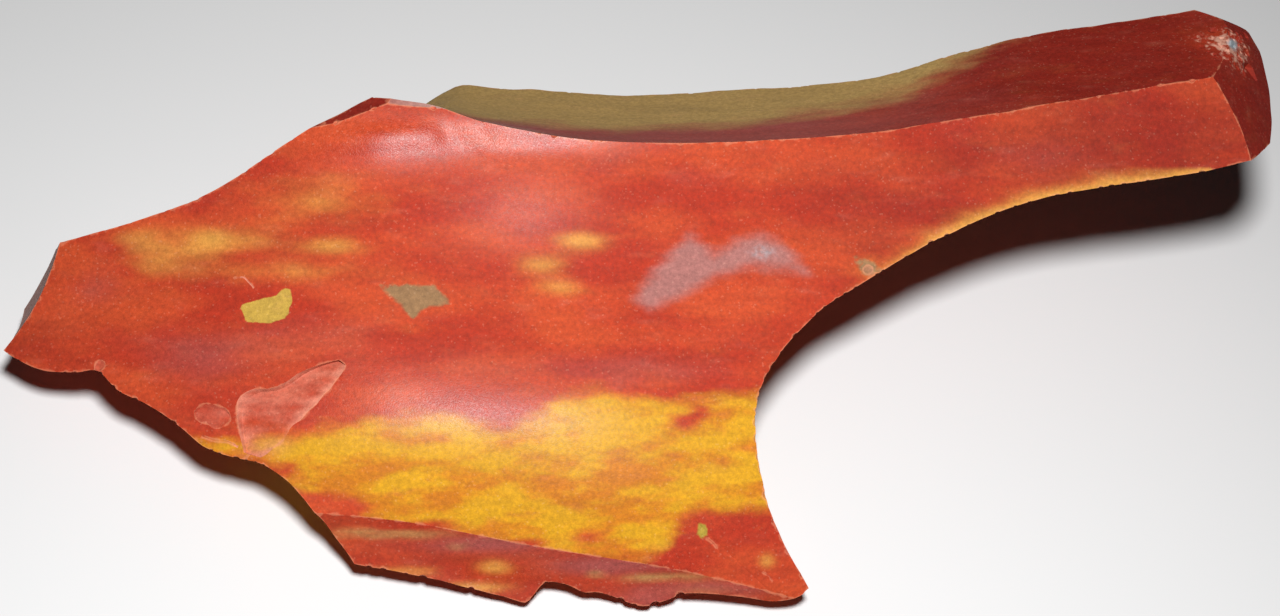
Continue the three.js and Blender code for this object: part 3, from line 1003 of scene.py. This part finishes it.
def ranged(tree, value, low, high, to_low=0.0, to_high=1.0, way="SMOOTHSTEP"):
    inputs = {"Value": value, "From Min": low, "From Max": high, "To Min": to_low, "To Max": to_high}
    return add(tree, "ShaderNodeMapRange", inputs, interpolation_type=way).outputs["Result"]


def stretched(tree, at, along):
    """Coordinates scaled along the stone: below 1 a pattern on them is drawn out into streaks."""
    inputs = {0: at, 1: (along, 1.0, 1.0)}
    return add(tree, "ShaderNodeVectorMath", inputs, operation="MULTIPLY").outputs["Vector"]


def speckle(tree, at, scale, detail=2.0):
    inputs = {"Vector": at, "Scale": scale, "Detail": detail}
    return add(tree, "ShaderNodeTexNoise", inputs).outputs["Fac"]


def new_group(name, inputs, outputs):
    group = bpy.data.node_groups.new(name, "ShaderNodeTree")
    for label, kind in inputs:
        group.interface.new_socket(label, in_out="INPUT", socket_type=kind)
    for label, kind in outputs:
        group.interface.new_socket(label, in_out="OUTPUT", socket_type=kind)
    return group, group.nodes.new("NodeGroupInput").outputs, group.nodes.new("NodeGroupOutput").inputs


# %% The three groups
FLOAT, COLOUR, VECTOR = "NodeSocketFloat", "NodeSocketColor", "NodeSocketVector"
FLECKS_AND_GLINTS_FROM = 0.955
PATCHY_FROM, PATCHY_TO = 0.42, 0.7

stain, given, result = new_group("Stain", [
    ("Vector", VECTOR), ("Under", COLOUR), ("Colour", COLOUR), ("Inside", FLOAT), ("Ragged", FLOAT),
    ("Soft", FLOAT), ("Scale", FLOAT),
], [("Colour", COLOUR)])
shift = calc(stain, "SUBTRACT", speckle(stain, given["Vector"], given["Scale"], 5.0), 0.5)
reach = calc(stain, "MULTIPLY_ADD", shift, given["Ragged"], given["Inside"])
share = ranged(stain, reach, calc(stain, "MULTIPLY", given["Soft"], -1.0), given["Soft"])
stain.links.new(mixed(stain, share, given["Under"], given["Colour"]), result["Colour"])

grain, given, result = new_group(
    "Grain", [("Vector", VECTOR), ("Scale", FLOAT)], [("Height", FLOAT), ("Fleck and glint", FLOAT)])
fine = speckle(grain, given["Vector"], given["Scale"], 2.0)
cells = add(grain, "ShaderNodeTexVoronoi", {"Vector": given["Vector"], "Scale": given["Scale"]})
tone = add(grain, "ShaderNodeSeparateColor", {"Color": cells.outputs["Color"]}).outputs["Red"]
grain.links.new(calc(grain, "MULTIPLY_ADD", tone, 0.35, fine), result["Height"])
# The fleck mask marks pale quartz flecks, which also serve as painted glints of light.
grain.links.new(ranged(grain, tone, FLECKS_AND_GLINTS_FROM, 1.0), result["Fleck and glint"])

# The pale line along the edges: partly wear, partly a painted glint of light.
wear_and_glint, given, result = new_group(
    "Edge wear", [("Vector", VECTOR), ("Distance", FLOAT), ("Width", FLOAT)], [("Mask", FLOAT)])
patchy = speckle(wear_and_glint, given["Vector"], 1.1, 4.0)
uneven = ranged(wear_and_glint, patchy, PATCHY_FROM, PATCHY_TO, 0.001, 1.7, "LINEAR")
width = calc(wear_and_glint, "MULTIPLY", uneven, given["Width"])
wear_and_glint.links.new(ranged(wear_and_glint, given["Distance"], width, 0.0), result["Mask"])
print("node groups:", [group.name for group in bpy.data.node_groups])

# %% [markdown]
# ## The jasper
#
# The red ground of the stone is not one colour: it drifts between blood red and orange red in long
# streaks along the stone. On this ground the stains are laid one by one, the soft clouds first and the
# sharp patches last, then the frosted chips and the crushed end; the first of the clouds is a dark red
# that is partly painted shade, and the yellow one also carries a painted glow on the thin rim of the
# arm. A mottle, faint layers, the grain with its flecks and painted glints, and the pale edges of wear
# and painted glint go over it all. The surface is dull where the break is plain and has a satin gloss
# where the flake ran out thin, and a fine grain breaks up the shine. The pattern lives on Object
# coordinates, turned by a Mapping node into the frame of the face, so it runs through the sides and
# the back as well.

# %% Jasper material
BLOOD_RED, ORANGE_RED = (0.355, 0.025, 0.008, 1), (0.45, 0.054, 0.014, 1)
OCHRE, DARK_OCHRE = (0.55, 0.27, 0.007, 1), (0.48, 0.15, 0.005, 1)
# The pale edge colour is partly wear and partly a painted glint along thin edges; the bright fleck is a
# quartz fleck that also serves as a painted glint.
WORN_EDGE_AND_GLINT, BRIGHT_FLECK_AND_GLINT = (0.74, 0.28, 0.15, 1), (0.9, 0.6, 0.42, 1)
WEAR_AND_GLINT_STRENGTH, FLECK_AND_GLINT_STRENGTH = 0.35, 0.07
GRAIN_PER_MM = 6.5
WEAR_AND_GLINT_WIDTH = 0.22
DULL, GLOSSY = 0.75, 0.33
GLOSS_GRIT = 0.05
REFLECTION = 0.2
BUMP_HEIGHT = 0.02 * MM
SOFT_STAIN = 0.3

# Each stain has its field, its colour, the field value at its rim, and how ragged, how soft and how
# fine that rim is.
STAINS = [
    # The dark red stain is partly the stone's own dark red and partly painted shade on the arm's end and the
    # hidden sides.
    ("deep_red_and_shade", (0.20, 0.012, 0.006, 1), 0.5, 0.8, 0.5, 0.3),
    # The yellow stain covers the yellow clouds and also a painted glow of light on the thin rim of the arm.
    ("cloud_and_glow", (0.56, 0.25, 0.045, 1), 0.5, 0.55, 0.5, 0.55),
    ("mauve", (0.30, 0.06, 0.05, 1), 0.5, 0.55, 0.55, 0.4),
    ("khaki", (0.38, 0.24, 0.08, 1), 0.5, 0.9, 0.4, 0.5),
    # The pale sliver stain: on the left end facet it is painted bounce light.
    ("sliver_and_bounce_light", (0.36, 0.20, 0.17, 1), 0.5, 0.4, 0.5, 0.5),
    ("lavender", (0.33, 0.128, 0.112, 1), -0.2, 1.6, 0.9, 0.9),
    ("grey", (0.25, 0.135, 0.06, 1), 0.0, 0.9, 0.22, 1.1),
    ("tan", (0.44, 0.275, 0.045, 1), 0.0, 0.5, 0.07, 1.3),
    ("olive", (0.33, 0.23, 0.03, 1), 0.0, 0.5, 0.15, 2.0),
    ("frost", (0.60, 0.21, 0.14, 1), 0.6, 1.1, 0.55, 0.8),
    ("crushed", (0.56, 0.28, 0.20, 1), 0.86, 2.0, 0.25, 1.6),
    ("speck", (0.28, 0.31, 0.33, 1), 0.5, 0.6, 0.3, 1.5),
]
jasper = bpy.data.materials.new("jasper")
jasper.use_nodes = True
tree = jasper.node_tree
shader = tree.nodes["Principled BSDF"]
spot = add(tree, "ShaderNodeTexCoord").outputs["Object"]
to_mm = {"Vector": spot, "Rotation": leaned.inverted().to_euler(), "Scale": (1 / MM,) * 3}
at_mm = add(tree, "ShaderNodeMapping", to_mm).outputs["Vector"]
streaky = stretched(tree, at_mm, 0.4)


def field(name):
    return add(tree, "ShaderNodeAttribute", attribute_name=name, attribute_type="GEOMETRY").outputs["Fac"]


drift = ranged(tree, speckle(tree, streaky, 0.22, 4.0), 0.35, 0.68)
colour = mixed(tree, drift, BLOOD_RED, ORANGE_RED)
drift = ranged(tree, speckle(tree, streaky, 0.4, 5.0), 0.42, 0.64)
ochre = mixed(tree, drift, OCHRE, DARK_OCHRE)
for name, tint, rim_value, ragged, soft, scale in [("ochre", ochre, 0.0, 4.6, 1.3, 0.5), *STAINS]:
    inside = calc(tree, "SUBTRACT", field(name), rim_value) if rim_value else field(name)
    colour = add(tree, "ShaderNodeGroup", {
        "Vector": streaky if soft > SOFT_STAIN else at_mm, "Under": colour, "Colour": tint,
        "Inside": inside, "Ragged": ragged, "Soft": soft, "Scale": scale,
    }, node_tree=stain).outputs["Colour"]

glitter = add(tree, "ShaderNodeGroup", {"Vector": at_mm, "Scale": GRAIN_PER_MM}, node_tree=grain)
worn_and_glint = add(tree, "ShaderNodeGroup", {
    "Vector": at_mm, "Distance": field("edge"), "Width": WEAR_AND_GLINT_WIDTH,
}, node_tree=wear_and_glint)
mottle = ranged(tree, speckle(tree, at_mm, 2.4, 5.0), 0.25, 0.75, 0.8, 1.2, "LINEAR")
layers = ranged(tree, speckle(tree, stretched(tree, at_mm, 0.1), 0.9, 3.0), 0.3, 0.7, 0.93, 1.05, "LINEAR")
grains = ranged(tree, glitter.outputs["Height"], 0.3, 1.0, 0.88, 1.12, "LINEAR")
tone = calc(tree, "MULTIPLY", calc(tree, "MULTIPLY", mottle, layers), grains)
toned = mixed(tree, 1.0, colour, tone, "MULTIPLY")
edged = mixed(tree, calc(tree, "MULTIPLY", worn_and_glint.outputs["Mask"], WEAR_AND_GLINT_STRENGTH), toned, WORN_EDGE_AND_GLINT)
# Pale quartz flecks, also painted glints of light on the grain.
fleck_and_glint = calc(tree, "MULTIPLY", glitter.outputs["Fleck and glint"], FLECK_AND_GLINT_STRENGTH)
tree.links.new(mixed(tree, fleck_and_glint, edged, BRIGHT_FLECK_AND_GLINT), shader.inputs["Base Color"])
gloss = ranged(tree, field("satin"), 0.0, 1.0, DULL, GLOSSY, "LINEAR")
gritty = ranged(tree, glitter.outputs["Height"], 0.3, 1.0, -GLOSS_GRIT, GLOSS_GRIT, "LINEAR")
tree.links.new(calc(tree, "ADD", gloss, gritty), shader.inputs["Roughness"])
shader.inputs["Specular IOR Level"].default_value = REFLECTION
relief = {"Height": glitter.outputs["Height"], "Strength": 1.0, "Distance": BUMP_HEIGHT}
tree.links.new(add(tree, "ShaderNodeBump", relief).outputs["Normal"], shader.inputs["Normal"])
stone.data.materials.clear()
stone.data.materials.append(jasper)
print("jasper nodes:", len(tree.nodes))

# %% [markdown]
# ## Table, lamp and camera
#
# The stone lies on plain white paper. One lamp stands close above the camera, so the shadow falls
# just below the stone, and a weak even light from all round lifts the dark a little. The paper is a
# plane and isn't part of the stone. The camera looks straight at the main face.

# %% Paper
PAPER_SIZE = 3
PAPER_WHITE = (0.71, 0.71, 0.71, 1)
PAPER_ROUGHNESS = 0.9
deselect()
bpy.ops.mesh.primitive_plane_add(size=PAPER_SIZE)
floor = bpy.context.object
floor.name = "floor"
paper = bpy.data.materials.new("paper")
paper.use_nodes = True
paper_shader = paper.node_tree.nodes["Principled BSDF"]
paper_shader.inputs["Base Color"].default_value = PAPER_WHITE
paper_shader.inputs["Roughness"].default_value = PAPER_ROUGHNESS
floor.data.materials.append(paper)
print("paper:", round(floor.dimensions.x, 2), "m wide")

# %% Lamp, fill and camera
CAMERA_AT = Vector((0, 0, 200))
SENSOR_WIDTH = 36
LENS = 59.27
NEAREST_SEEN = 0.01
LAMP_AT = Vector((11.6, 50, 200))
LAMP_SIZE = 0.03
LAMP_WATTS = 0.68
ROOM_WHITE = (1, 1, 1, 1)
ROOM_LIGHT = 0.008
bpy.ops.object.camera_add(location=face_to_row @ CAMERA_AT, rotation=leaned.to_euler())
camera = bpy.context.object
camera.name = "camera"
camera.data.sensor_width = SENSOR_WIDTH
camera.data.lens = LENS
camera.data.clip_start = NEAREST_SEEN
bpy.context.scene.camera = camera

lamp_at = face_to_row @ LAMP_AT
lamp_turn = (-lamp_at).to_track_quat("-Z", "Y").to_euler()
bpy.ops.object.light_add(type="AREA", location=lamp_at, rotation=lamp_turn)
lamp = bpy.context.object
lamp.name = "lamp"
lamp.data.shape = "DISK"
lamp.data.size = LAMP_SIZE
lamp.data.energy = LAMP_WATTS

room = bpy.data.worlds.new("room")
bpy.context.scene.world = room
room.use_nodes = True
background = room.node_tree.nodes["Background"]
background.inputs["Color"].default_value = ROOM_WHITE
background.inputs["Strength"].default_value = ROOM_LIGHT
bpy.context.scene.view_settings.view_transform = "Standard"
print("camera at", [round(value, 3) for value in camera.location], "lamp at", [round(v, 3) for v in lamp_at])
